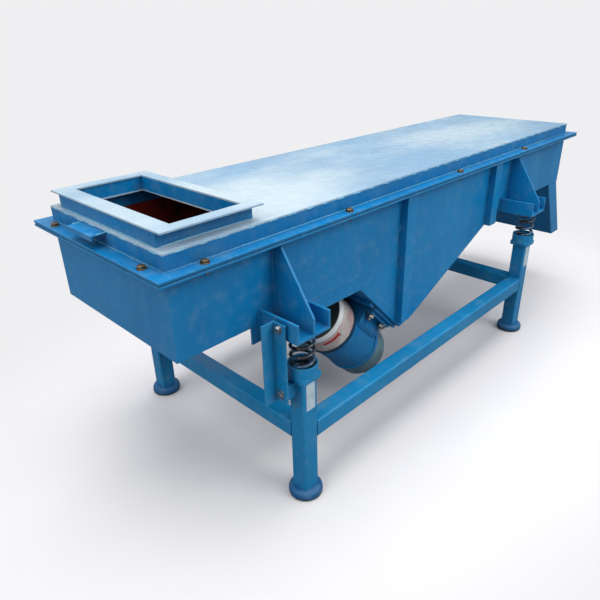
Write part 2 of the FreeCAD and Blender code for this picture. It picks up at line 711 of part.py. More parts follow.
def foot_bolt_places(sign):
    return [(u, v) for u in ("-foot_bolt_along", "foot_bolt_along")
            for v in ("%d * motor_side - foot_bolt_across" % sign,
                      "%d * motor_side + foot_bolt_across" % sign)]


def motor_casing(side, sign):
    """A finned-free cast casing: turned shell with end shields, and a foot block."""
    low, high = "-casing_up", "casing_down"
    inner = "casing_radius - casing_wall"
    profile = [(low, "bearing_radius"), (low, "flange_radius"),
               (low + " + flange_width", "flange_radius"),
               (low + " + flange_width", "casing_radius"),
               (high + " - flange_width", "casing_radius"),
               (high + " - flange_width", "flange_radius"), (high, "flange_radius"),
               (high, "bearing_radius"), (high + " - shield", "bearing_radius"),
               (high + " - shield", inner), (low + " + shield", inner),
               (low + " + shield", "bearing_radius")]
    body, shell = turned("Casing_" + side, profile)
    sole = "motor_drop - base_sheet"
    webs = sketch_on(body, "YZ_Plane", body.Name + "_webs")
    for hand in (-1, 1):
        outline(webs, [("%d * casing_radius" % hand, sole + " - foot_sheet"),
                       ("%d * casing_radius / 3" % hand, sole + " - foot_sheet"),
                       ("%d * (casing_radius - 6)" % hand, "casing_radius * 0.4"),
                       ("%d * casing_radius" % hand, "casing_radius * 0.55")])
    pad(body, webs, "2 * foot_half_length", middle=True)
    shoe = sketch_on(body, "YZ_Plane", body.Name + "_shoe")
    outline(shoe, [("-foot_half_width", sole + " - foot_sheet"),
                   ("foot_half_width", sole + " - foot_sheet"),
                   ("foot_half_width", sole), ("-foot_half_width", sole)])
    pad(body, shoe, "2 * foot_half_length", middle=True)
    on_slope(body, "0", "%d * motor_side" % sign, "-motor_drop")
    return body


def motor_cap(name, sign, upper):
    """A drawn end cap with a rounded rim."""
    start, end = ("-casing_up", "-cap_end") if upper else ("casing_down", "cap_end")
    inward = "+" if upper else "-"
    inner = "cap_radius - cap_sheet"
    profile = [(start, inner), (start, "cap_radius"), (end, "cap_radius"), (end, "0"),
               ("%s %s cap_sheet" % (end, inward), "0"), ("%s %s cap_sheet" % (end, inward), inner)]
    body, shell = turned(name, profile)
    inside = round_rim(body, shell, "x", "%s %s cap_sheet" % (end, inward), "cap_round - cap_sheet")
    round_rim(body, inside, "x", end, "cap_round")
    on_slope(body, "0", "%d * motor_side" % sign, "-motor_drop")
    return body


def lengthways_rod(name, radius, start, length, sign):
    """A cylinder on a motor's axis; its half turn from 0 to 180 degrees hangs down."""
    item = doc.addObject("Part::Cylinder", name)
    tie(item, Radius=radius, Height=length)
    on_slope(item, "(%s)" % start, "%d * motor_side" % sign, "-motor_drop")
    lying = FreeCAD.Rotation(FreeCAD.Vector(0, 0, 1), FreeCAD.Vector(1, 0, 0))
    hanging = FreeCAD.Rotation(FreeCAD.Vector(0, 0, 1), -90)
    turn = slope_turn().multiply(lying).multiply(hanging)
    item.Placement = FreeCAD.Placement(item.Placement.Base, turn)
    return item


def motor_insides(side, sign):
    """Bearing rings for the end shields, and the rotor with an eccentric weight at each end."""
    rings = []
    for number, start in enumerate(("-casing_up", "casing_down - shield")):
        ring = lengthways_rod("Bearing%d_%s" % (number, side), "bearing_radius", start, "shield",
                              sign)
        bore = lengthways_rod("BearingBore%d_%s" % (number, side), "shaft_radius + 0.05", start,
                              "shield", sign)
        rings.append(cut("BearingRing%d_%s" % (number, side), ring, bore))
    shaft = lengthways_rod("Shaft_" + side, "shaft_radius", "-shaft_end", "2 * shaft_end", sign)
    core = lengthways_rod("Core_" + side, "core_radius", "-core_half", "2 * core_half", sign)
    keep(fuse("Rotor_" + side, [shaft, core]), "rotor_shaft_" + side)
    weights = []
    for number, start in enumerate(("-weight_near - weight_width", "weight_far")):
        lobe = lengthways_rod("Lobe%d_%s" % (number, side), "weight_radius", start,
                              "weight_width", sign)
        lobe.Angle = 180
        hub = lengthways_rod("Hub%d_%s" % (number, side), "shaft_radius * 2", start,
                             "weight_width", sign)
        bore = lengthways_rod("HubBore%d_%s" % (number, side), "shaft_radius", start,
                              "weight_width", sign)
        weights.append(cut("Weight%d_%s" % (number, side),
                           fuse("WeightBlank%d_%s" % (number, side), [lobe, hub]), bore))
    keep(group("Weights_" + side, weights), "eccentric_weights_" + side)
    return rings


def motors():
    """Two vibration motors side by side under the steep hopper wall."""
    plate = block("MotorBase", "0", "0", "0", "base_up + base_down", "2 * (half_width - 2 * wall)",
                  "base_sheet")
    on_slope(plate, "-base_up", "-(half_width - 2 * wall)", "-base_sheet")
    bolts, holes, casings = [], [], {}
    for side, sign in SIDES.items():
        casings[side] = motor_casing(side, sign)
        for number, (u, v) in enumerate(foot_bolt_places(sign)):
            word = "%s%d" % (side, number)
            under = "-base_sheet - foot_sheet"
            grip = rod("FootShank_" + word, "bolt_radius", "foot_sheet + base_sheet")
            on_slope(grip, "(%s)" % u, v, under)
            head = hexagon("FootHead_" + word, "0", "0", "0")
            on_slope(head, "(%s)" % u, v, under + " - hex_height")
            bolts.append(fuse("FootBolt_" + word, [grip, head]))
            hole = rod("FootHole_" + word, "bolt_hole", "foot_sheet + base_sheet + 2")
            on_slope(hole, "(%s)" % u, v, under + " - 1")
            holes.append(hole)
    tool = fuse("FootHoles", holes)
    keep(cut("MotorBaseDrilled", plate, tool), "motor_base_plate")
    keep(group("FootBolts", bolts), "motor_foot_bolts")
    rings = []
    for side, sign in SIDES.items():
        keep(cut("CasingDrilled_" + side, casings[side], tool), "motor_casing_" + side)
        for upper, word in ((True, "upper"), (False, "lower")):
            keep(motor_cap("Cap_%s_%s" % (word, side), sign, upper),
                 "motor_cap_%s_%s" % (word, side))
        rings += motor_insides(side, sign)
    keep(group("Bearings", rings), "bearings")


def check_and_write():
    doc.recompute()
    faulty = [item.Name for item in doc.Objects if set(item.State) & {"Invalid", "Error"}]
    if faulty:
        raise RuntimeError("failed objects: " + ", ".join(faulty))
    os.makedirs("parts", exist_ok=True)
    for item in nodes:
        shape = item.Shape
        if shape.isNull() or not shape.isValid():
            raise RuntimeError("no valid shape for " + item.Label)
    for item in nodes:
        item.Shape.exportStep("parts/%s.step" % item.Label)
        box = item.Shape.BoundBox
        print("%-28s %2d solids  %8.0f cm3  z %6.1f %6.1f" % (
            item.Label, len(item.Shape.Solids), item.Shape.Volume / 1000, box.ZMin, box.ZMax))


side_plates()
box_ends_and_pan()
hopper_plates()
spout()
side_ribs()
rim_and_cover()
inlet()
cleat()
standing_frame()
brackets()
transport_braces()
deck()
motors()
check_and_write()
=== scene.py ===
"""Looks for the vibrating sieve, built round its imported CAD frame."""

import math
import random

import bmesh
import bpy
from mathutils import Matrix, Vector


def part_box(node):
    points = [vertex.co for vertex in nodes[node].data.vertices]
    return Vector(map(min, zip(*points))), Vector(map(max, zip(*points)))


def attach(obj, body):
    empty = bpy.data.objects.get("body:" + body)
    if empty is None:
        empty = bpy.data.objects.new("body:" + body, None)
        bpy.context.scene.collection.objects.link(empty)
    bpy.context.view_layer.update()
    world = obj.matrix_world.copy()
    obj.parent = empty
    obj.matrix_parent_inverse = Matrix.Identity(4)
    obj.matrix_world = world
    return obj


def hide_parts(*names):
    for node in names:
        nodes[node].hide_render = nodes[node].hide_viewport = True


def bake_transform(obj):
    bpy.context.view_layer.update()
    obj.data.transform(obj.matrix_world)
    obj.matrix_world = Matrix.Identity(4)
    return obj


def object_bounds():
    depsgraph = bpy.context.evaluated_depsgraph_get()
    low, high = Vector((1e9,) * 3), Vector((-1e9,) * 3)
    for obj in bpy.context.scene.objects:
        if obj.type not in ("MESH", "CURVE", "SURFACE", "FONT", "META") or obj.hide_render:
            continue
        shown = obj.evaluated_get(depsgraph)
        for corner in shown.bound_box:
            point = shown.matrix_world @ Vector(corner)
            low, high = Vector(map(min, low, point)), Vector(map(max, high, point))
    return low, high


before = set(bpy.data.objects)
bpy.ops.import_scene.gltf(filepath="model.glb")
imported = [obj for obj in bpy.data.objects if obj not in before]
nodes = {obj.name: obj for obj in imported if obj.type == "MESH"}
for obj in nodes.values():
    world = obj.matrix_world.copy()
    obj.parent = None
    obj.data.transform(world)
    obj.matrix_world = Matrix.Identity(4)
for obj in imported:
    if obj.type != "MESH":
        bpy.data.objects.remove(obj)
cad_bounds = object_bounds()
chance = random.Random(12)
MM = 0.001

# ---------------------------------------------------------------- sizes that the frame's boxes don't give

PLATE = 5 * MM
RIB_WIDTH = 45 * MM
OUTLET = 72 * MM
SPOUT_GAP, SPOUT_FOOT = 80 * MM, 76 * MM
STUB, SEAT_SHEET, SEAT_SIDE = 15 * MM, 6 * MM, 50 * MM
CUP_PLATE, CUP_RADIUS, CUP_WALL = 12 * MM, 38 * MM, 29 * MM
RIM_OUT = 36 * MM
BOLT_STATIONS = (84 * MM, 537 * MM, 1088 * MM, 1558 * MM)
BOLT_ACROSS = 202 * MM
BRACE_BOLT_ACROSS, BRACE_BOLT_HIGH, BRACE_BOLT_LOW = 333 * MM, 526 * MM, 347 * MM
BRACE_FACE, BRACE_SHEET = 224 * MM, 4 * MM
FOOT_BOLT_ALONG, FOOT_BOLT_ACROSS, FOOT_BOLT_RISE = 42 * MM, 102 * MM, 87 * MM
CAP_RADIUS = 92 * MM

DIAGONAL = math.sqrt(0.5)
DOWNHILL = Vector((DIAGONAL, 0, -DIAGONAL))
TO_WALL = Vector((DIAGONAL, 0, DIAGONAL))


def middle_of(node):
    low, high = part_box(node)
    return (low + high) / 2


MOTORS = {side: middle_of("rotor_shaft_" + side) for side in ("near", "far")}
FEED_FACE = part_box("feed_end_plate")[0].x
DISCHARGE_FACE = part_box("discharge_end_plate")[1].x

# ---------------------------------------------------------------- colours, as sRGB of 0 to 255

PAINT = (12, 130, 190)
PAINT_PALE = (92, 174, 214)
PAINT_DEEP = (8, 76, 128)
# colour of the painted sky reflection on the cover's top
COVER_SKY_SHEEN = (206, 218, 220)
PRIMER = (150, 48, 30)
LABEL = (205, 222, 232)
ARROW = (196, 44, 34)
LABEL_FEED = (FEED_FACE + 285 * MM, 330 * MM)
LABEL_DISCHARGE = (FEED_FACE + 1500 * MM, 330 * MM)
ARROW_SHIFT = -130 * MM
ARROW_STEPS = [(230 - step * 5, 6 * MM) for step in range(8)] + [(194, 13 * MM), (172, 0.3 * MM)]
BAND = (222, 214, 204)


def linear(colour):
    """An sRGB colour of 0 to 255 as linear RGBA."""
    parts = []
    for part in colour:
        value = part / 255
        parts.append(value / 12.92 if value <= 0.04045 else ((value + 0.055) / 1.055) ** 2.4)
    return (*parts, 1.0)


# ---------------------------------------------------------------- shader helpers

class Shader:
    """A node material under construction."""

    def __init__(self, name):
        self.material = bpy.data.materials.new(name)
        self.material.use_nodes = True
        self.tree = self.material.node_tree
        self.surface = self.tree.nodes["Principled BSDF"]
        self.place = self.node("ShaderNodeTexCoord").outputs["Object"]

    def node(self, kind, **settings):
        made = self.tree.nodes.new(kind)
        for name, value in settings.items():
            setattr(made, name, value)
        return made

    def put(self, socket, value):
        if isinstance(value, bpy.types.NodeSocket):
            self.tree.links.new(value, socket)
        else:
            socket.default_value = value

    def noise(self, scale, detail=3.0, rough=0.55, stretch=(1, 1, 1)):
        texture = self.node("ShaderNodeTexNoise")
        mapping = self.node("ShaderNodeMapping")
        mapping.inputs["Scale"].default_value = stretch
        self.put(mapping.inputs["Vector"], self.place)
        self.put(texture.inputs["Vector"], mapping.outputs["Vector"])
        texture.inputs["Scale"].default_value = scale
        texture.inputs["Detail"].default_value = detail
        texture.inputs["Roughness"].default_value = rough
        return texture.outputs["Fac"]

    def math(self, operation, first, second=0.0, clamp=False):
        made = self.node("ShaderNodeMath", operation=operation, use_clamp=clamp)
        self.put(made.inputs[0], first)
        self.put(made.inputs[1], second)
        return made.outputs[0]

    def span(self, value, low, high, to_low=0.0, to_high=1.0):
        """Maps low..high smoothly to to_low..to_high, and holds it there outside."""
        made = self.node("ShaderNodeMapRange", interpolation_type="SMOOTHSTEP")
        for name, number in (("Value", value), ("From Min", low), ("From Max", high),
                             ("To Min", to_low), ("To Max", to_high)):
            self.put(made.inputs[name], number)
        return made.outputs["Result"]

    def mix(self, share, first, second, blend="MIX"):
        made = self.node("ShaderNodeMix", data_type="RGBA", blend_type=blend)
        self.put(made.inputs["Factor"], share)
        colours = [item for item in made.inputs if item.type == "RGBA"]
        self.put(colours[0], first)
        self.put(colours[1], second)
        return [item for item in made.outputs if item.type == "RGBA"][0]

    def along(self, axis):
        made = self.node("ShaderNodeSeparateXYZ")
        self.put(made.inputs[0], self.place)
        return made.outputs[axis]

    def edges(self, radius):
        """A rounded normal, and how near the surface is to an edge (0 to 1)."""
        bevel = self.node("ShaderNodeBevel", samples=4)
        bevel.inputs["Radius"].default_value = radius
        true_normal = self.node("ShaderNodeNewGeometry").outputs["Normal"]
        product = self.node("ShaderNodeVectorMath", operation="DOT_PRODUCT")
        self.put(product.inputs[0], bevel.outputs["Normal"])
        self.put(product.inputs[1], true_normal)
        return bevel.outputs["Normal"], self.span(product.outputs["Value"], 0.995, 0.80)

    def corners(self, distance):
        """How deep the surface lies in a corner (0 to 1)."""
        shade = self.node("ShaderNodeAmbientOcclusion", samples=6)
        shade.inputs["Distance"].default_value = distance
        return self.math("SUBTRACT", 1.0, shade.outputs["AO"])

    def bump(self, normal, *layers):
        """Stacks (height, strength, distance) bumps on a normal."""
        for height, strength, distance in layers:
            made = self.node("ShaderNodeBump")
            made.inputs["Strength"].default_value = strength
            made.inputs["Distance"].default_value = distance
            self.put(made.inputs["Height"], height)
            if normal is not None:
                self.put(made.inputs["Normal"], normal)
            normal = made.outputs["Normal"]
        self.put(self.surface.inputs["Normal"], normal)

    def finish(self, **values):
        for name, value in values.items():
            self.put(self.surface.inputs[name.replace("_", " ").title()
                                         .replace("Ior", "IOR")], value)
        return self.material


def enamel(name, colour=PAINT, sky_sheen=0.0, dust=0.2, inside=False, gloss=0.3, dent=0.35, ring=False):
    """Brushed blue enamel on sheet steel: pale at edges, partly thin paint and partly painted highlight;
    painted shade in the corners; dusty.
    """
    shader = Shader(name)
    base, pale, deep = linear(colour), linear(PAINT_PALE), linear(PAINT_DEEP)
    normal, edge = shader.edges(1.6 * MM)
    broad = shader.noise(2.3, 4.0)
    tint = shader.mix(shader.span(broad, 0.35, 0.68, 0.0, 0.28), base, deep)
    runs = shader.noise(9.0, 5.0, 0.6, (1.0, 1.0, 0.16))
    tint = shader.mix(shader.span(runs, 0.5, 0.75, 0.0, 0.16), tint, pale)
    blotch = shader.noise(28.0, 6.0, 0.62)
    # painted shade: the paint turns deep blue where ambient occlusion finds corners and recesses, broken
    # up by noise
    corner_shade = shader.math("MULTIPLY", shader.corners(45 * MM), shader.span(blotch, 0.2, 0.7, 0.5, 1.0))
    tint = shader.mix(shader.math("MULTIPLY", corner_shade, 0.55, True), tint, linear((9, 38, 66)))
    film = shader.math("MULTIPLY", shader.span(blotch, 0.45, 0.78), dust)
    tint = shader.mix(film, tint, linear((140, 168, 184)))
    # painted reflection: a pale cloud over the top, strongest towards the inlet, stands in for the sky's
    # reflection
    if sky_sheen:
        sweep = shader.noise(1.7, 3.0, 0.5, (0.8, 1.5, 1.0))
        near_inlet = shader.span(shader.along("X"), 0.9, -0.8, 0.78, 0.92)
        sheen_patches = shader.math("MULTIPLY", shader.span(sweep, 0.3, 0.62, 0.4, 1.0), near_inlet)
        tint = shader.mix(shader.math("MULTIPLY", sheen_patches, sky_sheen, True), tint, linear(COVER_SKY_SHEEN))
    scuff = shader.noise(60.0, 5.0, 0.7)
    # pale edges: partly worn paint, partly painted highlight along the edges
    edge_wear_and_highlight = shader.math("MULTIPLY", edge, shader.span(scuff, 0.32, 0.6, 0.35, 1.0))
    tint = shader.mix(edge_wear_and_highlight, tint, pale)
    chips = shader.math("MULTIPLY", edge, shader.span(shader.noise(95.0, 3.0, 0.6), 0.66, 0.7))
    tint = shader.mix(chips, tint, linear((92, 74, 62)))
    if inside:
        tint = inner_primer(shader, tint)
    if ring:
        place = motor_distance(shader)
        band = shader.math("MULTIPLY", shader.span(place, -0.0865, -0.0855),
                           shader.span(place, -0.0722, -0.0712, 1.0, 0.0))
        tint = shader.mix(shader.math("MULTIPLY", band, 0.8), tint, linear((16, 30, 42)))
    rough = shader.span(blotch, 0.3, 0.75, gloss, gloss + 0.2)
    peel = shader.noise(420.0, 2.0, 0.5)
    wave = shader.noise(3.2, 2.0, 0.45)
    shader.bump(normal, (wave, dent, 9 * MM), (runs, 0.12, 1 * MM), (peel, 0.08, 0.3 * MM))
    return shader.finish(base_color=tint, roughness=rough, specular_ior_level=0.35,
                         coat_weight=0.12, coat_roughness=0.15)


def motor_distance(shader):
    """How far a point lies down the slope from the middle of the motors."""
    flat = shader.math("SUBTRACT", shader.along("X"), shader.along("Z"))
    middle = MOTORS["near"]
    return shader.math("SUBTRACT", shader.math("MULTIPLY", flat, DIAGONAL),
                       (middle.x - middle.z) * DIAGONAL)


def inner_primer(shader, tint):
    """Red-oxide primer on every face that looks into the screening chamber."""
    across = shader.math("LESS_THAN", shader.math("ABSOLUTE", shader.along("Y")), 0.2504)
    x_low, x_high = cad_bounds[0][0] + 0.0412, cad_bounds[0][0] + 2.031
    length = shader.math("MULTIPLY", shader.math("GREATER_THAN", shader.along("X"), x_low),
                         shader.math("LESS_THAN", shader.along("X"), x_high))
    height = shader.math("MULTIPLY", shader.math("GREATER_THAN", shader.along("Z"), 0.5052),
                         shader.math("LESS_THAN", shader.along("Z"), 0.7485))
    share = shader.math("MULTIPLY", across, shader.math("MULTIPLY", length, height))
    rust = shader.mix(shader.span(shader.noise(14.0, 5.0), 0.35, 0.7), linear(PRIMER),
                      linear((62, 18, 14)))
    return shader.mix(share, tint, rust)


def primer():
    shader = Shader("red_primer")
    normal, edge = shader.edges(1.2 * MM)
    patches = shader.noise(11.0, 5.0)
    tint = shader.mix(shader.span(patches, 0.35, 0.7), linear(PRIMER), linear((70, 20, 16)))
    # pale edges: partly wear, partly painted highlight
    tint = shader.mix(shader.math("MULTIPLY", edge, 0.5), tint, linear((150, 120, 104)))
    shader.bump(normal, (shader.noise(240.0, 3.0), 0.2, 0.4 * MM))
    return shader.finish(base_color=tint, roughness=shader.span(patches, 0.3, 0.8, 0.5, 0.75))


def bare_metal(name, colour, dark, rough=0.32, grain=160.0, rust=0.2, metallic=1.0):
    """Ground, plated or cast metal with stains."""
    shader = Shader(name)
    normal, edge = shader.edges(0.8 * MM)
    stain = shader.noise(grain, 5.0, 0.65)
    tint = shader.mix(shader.span(stain, 0.35, 0.7), linear(colour), linear(dark))
    spots = shader.span(shader.noise(grain * 0.4, 4.0), 0.6, 0.72, 0.0, rust)
    tint = shader.mix(spots, tint, linear((110, 66, 40)))
    # pale edges: partly wear, partly painted highlight
    tint = shader.mix(shader.math("MULTIPLY", edge, 0.4), tint, linear((214, 210, 200)))
    shader.bump(normal, (stain, 0.15, 0.3 * MM))
    return shader.finish(base_color=tint, metallic=metallic,
                         roughness=shader.span(stain, 0.3, 0.75, rough, rough + 0.22))


def black_spring():
    shader = Shader("black_spring")
    dirt = shader.noise(120.0, 4.0, 0.6)
    tint = shader.mix(shader.span(dirt, 0.4, 0.72), linear((20, 21, 24)), linear((58, 58, 58)))
    # blue patches: partly overspray, partly painted reflection on the glossy wire
    spray_and_sheen = shader.span(shader.noise(26.0, 4.0, 0.6), 0.46, 0.62, 0.0, 0.75)
    tint = shader.mix(spray_and_sheen, tint, linear((54, 112, 152)))
    shader.bump(None, (dirt, 0.2, 0.3 * MM))
    return shader.finish(base_color=tint, roughness=shader.span(dirt, 0.3, 0.7, 0.18, 0.4),
                         coat_weight=0.6, coat_roughness=0.12)


def rubber(name, colour):
    shader = Shader(name)
    normal, edge = shader.edges(1.5 * MM)
    dust = shader.noise(34.0, 5.0, 0.6)
    tint = shader.mix(shader.span(dust, 0.42, 0.75, 0.0, 0.5), linear(colour), linear((128, 132, 130)))
    # pale edges: partly wear, partly painted highlight
    tint = shader.mix(shader.math("MULTIPLY", edge, 0.3), tint, linear((120, 124, 126)))
    shader.bump(normal, (shader.noise(380.0, 3.0), 0.25, 0.4 * MM))
    return shader.finish(base_color=tint, roughness=shader.span(dust, 0.3, 0.7, 0.5, 0.8))


def woven_wire():
    """Square wire mesh drawn in bump and colour, with the shade of its holes."""
    shader = Shader("woven_wire")
    height = None
    for axis in ("X", "Y"):
        wave = shader.math("SINE", shader.math("MULTIPLY", shader.along(axis), 2 * math.pi / (4 * MM)))
        height = wave if height is None else shader.math("MULTIPLY", height, wave)
    holes = shader.span(height, -0.2, 0.55)
    stain = shader.noise(12.0, 4.0)
    tint = shader.mix(holes, linear((150, 150, 146)), linear((26, 20, 18)))
    tint = shader.mix(shader.span(stain, 0.4, 0.7, 0.0, 0.5), tint, linear((96, 70, 58)))
    shader.bump(None, (height, 0.8, 0.8 * MM))
    return shader.finish(base_color=tint, metallic=0.7, roughness=shader.span(stain, 0.3, 0.7, 0.35, 0.6))


def cast_cap(name, colour, dark, gloss):
    """Painted aluminium end cap, scuffed."""
    shader = Shader(name)
    normal, edge = shader.edges(1.2 * MM)
    patch = shader.noise(16.0, 5.0, 0.6)
    tint = shader.mix(shader.span(patch, 0.35, 0.72), linear(colour), linear(dark))
    # painted shade: dark grey where ambient occlusion finds corners
    corner_shade = shader.math("MULTIPLY", shader.corners(20 * MM), 0.5)
    tint = shader.mix(corner_shade, tint, linear((34, 44, 50)))
    # pale edges: partly scuffs, partly painted highlight
    tint = shader.mix(shader.math("MULTIPLY", edge, 0.35), tint, linear((230, 232, 230)))
    shader.bump(normal, (shader.noise(300.0, 3.0), 0.15, 0.3 * MM))
    return shader.finish(base_color=tint, roughness=shader.span(patch, 0.3, 0.75, gloss, gloss + 0.25),
                         coat_weight=0.3, coat_roughness=0.15)


def banded_cap():
    """The upper cap: painted shade on its end face, a painted highlight on its rim, and a cream side that
    is stained pink.
    """
    shader = Shader("cap_banded")
    normal, edge = shader.edges(1.2 * MM)
    patch = shader.noise(18.0, 5.0, 0.6)
    side = shader.mix(shader.span(patch, 0.4, 0.7), linear(BAND), linear((206, 164, 158)))
    smear = shader.noise(70.0, 4.0, 0.65, (1.0, 0.3, 1.0))
    side = shader.mix(shader.span(smear, 0.5, 0.75, 0.0, 0.5), side, linear((120, 148, 160)))
    place = motor_distance(shader)
    # painted highlight: a near-white band along the rim
    rim = shader.span(place, -0.1525, -0.1500, 1.0, 0.0)
    tint = shader.mix(rim, side, linear((236, 238, 236)))
    # painted shade: the end face is coloured dark olive grey
    end_face_shade = shader.mix(shader.span(patch, 0.4, 0.7), linear((40, 44, 38)), linear((66, 70, 60)))
    face = shader.span(place, -0.1640, -0.1632, 1.0, 0.0)
    tint = shader.mix(face, tint, end_face_shade)
    shader.bump(normal, (shader.noise(300.0, 3.0), 0.12, 0.3 * MM))
    return shader.finish(base_color=tint, roughness=shader.span(patch, 0.3, 0.75, 0.28, 0.5),
                         coat_weight=0.3, coat_roughness=0.15)


def sprayed_foot():
    """Rubber foot, near black up to a ragged line 9 to 14 mm above the floor and painted blue above it."""
    shader = Shader("foot_rubber")
    normal, edge = shader.edges(1.5 * MM)
    ragged = shader.math("ADD", shader.along("Z"),
                         shader.math("MULTIPLY", shader.noise(60.0, 4.0), 8 * MM))
    paint = shader.span(ragged, 9 * MM, 14 * MM)
    dust = shader.noise(34.0, 5.0, 0.6)
    blue = shader.mix(shader.span(dust, 0.42, 0.75, 0.0, 0.4), linear((24, 92, 142)),
                      linear((96, 134, 158)))
    tint = shader.mix(paint, linear((18, 24, 30)), blue)
    # pale edges: partly wear, partly painted highlight
    tint = shader.mix(shader.math("MULTIPLY", edge, 0.3), tint, linear((120, 140, 150)))
    shader.bump(normal, (shader.noise(380.0, 3.0), 0.2, 0.4 * MM))
    return shader.finish(base_color=tint, roughness=shader.span(dust, 0.3, 0.7, 0.4, 0.7))


def film(name, colour, soil):
    """A thin stuck-on strip: pale, a little soiled, glossy."""
    shader = Shader(name)
    smear = shader.noise(90.0, 5.0, 0.6, (1.0, 1.0, 0.4))
    tint = shader.mix(shader.span(smear, 0.4, 0.75, 0.0, 0.7), linear(colour), linear(soil))
    shader.bump(None, (smear, 0.1, 0.2 * MM))
    return shader.finish(base_color=tint, roughness=shader.span(smear, 0.3, 0.7, 0.25, 0.5),
                         coat_weight=0.4, coat_roughness=0.1)


# ---------------------------------------------------------------- mesh helpers

def piece(name, mesh, body, material, smooth=40):
    """Turns a bmesh into a shown object that rides on a body."""
    data = bpy.data.meshes.new(name)
    bmesh.ops.recalc_face_normals(mesh, faces=mesh.faces)
    mesh.to_mesh(data)
    mesh.free()
    data.materials.append(material)
    made = bpy.data.objects.new(name, data)
    bpy.context.scene.collection.objects.link(made)
    if smooth:
        data.shade_smooth()
        data.set_sharp_from_angle(angle=math.radians(smooth))
    if body:
        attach(made, body)
    return made


def skin(mesh, rings, closed_ends=True, loop=False):
    """Faces between successive rings of points."""
    made = [[mesh.verts.new(point) for point in ring] for ring in rings]
    pairs = list(zip(made, made[1:]))
    if loop:
        pairs.append((made[-1], made[0]))
    for low, high in pairs:
        for index in range(len(low)):
            after = (index + 1) % len(low)
            mesh.faces.new((low[index], low[after], high[after], high[index]))
    if closed_ends and not loop:
        mesh.faces.new(list(reversed(made[0])))
        mesh.faces.new(made[-1])


def basis(direction):
    """A matrix whose Z column is the direction."""
    return Vector(direction).normalized().to_track_quat("Z", "Y").to_matrix()


def ring_at(centre, turn, radius, sides, phase=0.0):
    points = []
    for index in range(sides):
        angle = 2 * math.pi * index / sides + phase
        points.append(centre + turn @ Vector((radius * math.cos(angle), radius * math.sin(angle), 0)))
    return points


def lathe(mesh, origin, direction, profile, sides=32, phase=0.0):
    """A turned solid: profile is a list of (distance along, radius)."""
    turn = basis(direction)
    axis = Vector(direction).normalized()
    rings = [ring_at(Vector(origin) + axis * along, turn, radius, sides, phase)
             for along, radius in profile]
    skin(mesh, rings)


def bolt(mesh, origin, direction, size=10 * MM, washer=True, tail=0.0):
    """A hexagon head with a chamfered crown, standing on a washer; a tail is a nut's thread end."""
    phase = chance.uniform(0, math.pi)
    floor = 0.0
    if washer:
        lathe(mesh, origin, direction, [(0, size * 1.05), (size * 0.14, size * 1.08),
                                        (size * 0.18, size * 1.02)], 28)
        floor = size * 0.18
    across = size * 0.93
    lathe(mesh, origin, direction, [(floor, across * 0.92), (floor + size * 0.05, across),
                                    (floor + size * 0.52, across), (floor + size * 0.62, across * 0.84),
                                    (floor + size * 0.63, across * 0.5)], 6, phase)
    if tail:
        steps = int(tail / (1.5 * MM))
        profile = []
        for step in range(steps):
            start = floor + size * 0.6 + step * 1.5 * MM
            profile += [(start, size * 0.42), (start + 0.75 * MM, size * 0.5)]
        lathe(mesh, origin, direction, profile + [(profile[-1][0] + 1 * MM, size * 0.4)], 16)


def bead(mesh, start, end, radius=3.2 * MM, pitch=4.5 * MM, sides=8):
    """A welding bead along a line: overlapping ripples with an uneven edge."""
    start, end = Vector(start), Vector(end)
    run = end - start
    turn = basis(run)
    steps = max(6, int(run.length / pitch * 4))
    rings = []
    drift = 0.0
    for step in range(steps + 1):
        share = step / steps
        drift = 0.8 * drift + chance.uniform(-0.25, 0.25) * radius
        taper = min(1.0, 0.35 + 6 * min(share, 1 - share))
        phase = (share * run.length / pitch) % 1.0
        wide = radius * taper * (0.86 + 0.22 * (1 - phase) + chance.uniform(-0.04, 0.04))
        centre = start + run * share + turn @ Vector((drift * 0.3, drift * 0.3, 0))
        rings.append(ring_at(centre, turn, wide, sides))
    skin(mesh, rings)


def stitches(mesh, start, end, every, length, radius=3.2 * MM):
    """Short beads at intervals along a seam."""
    start, end = Vector(start), Vector(end)
    run = end - start
    count = max(1, int(round(run.length / every)))
    for index in range(count):
        middle = (index + 0.5 + chance.uniform(-0.16, 0.16)) / count
        half = length * chance.uniform(0.35, 0.6) / run.length
        low, high = max(0.0, middle - half), min(1.0, middle + half)
        bead(mesh, start + run * low, start + run * high, radius * chance.uniform(0.85, 1.15))


# ---------------------------------------------------------------- paint the carried-over nodes

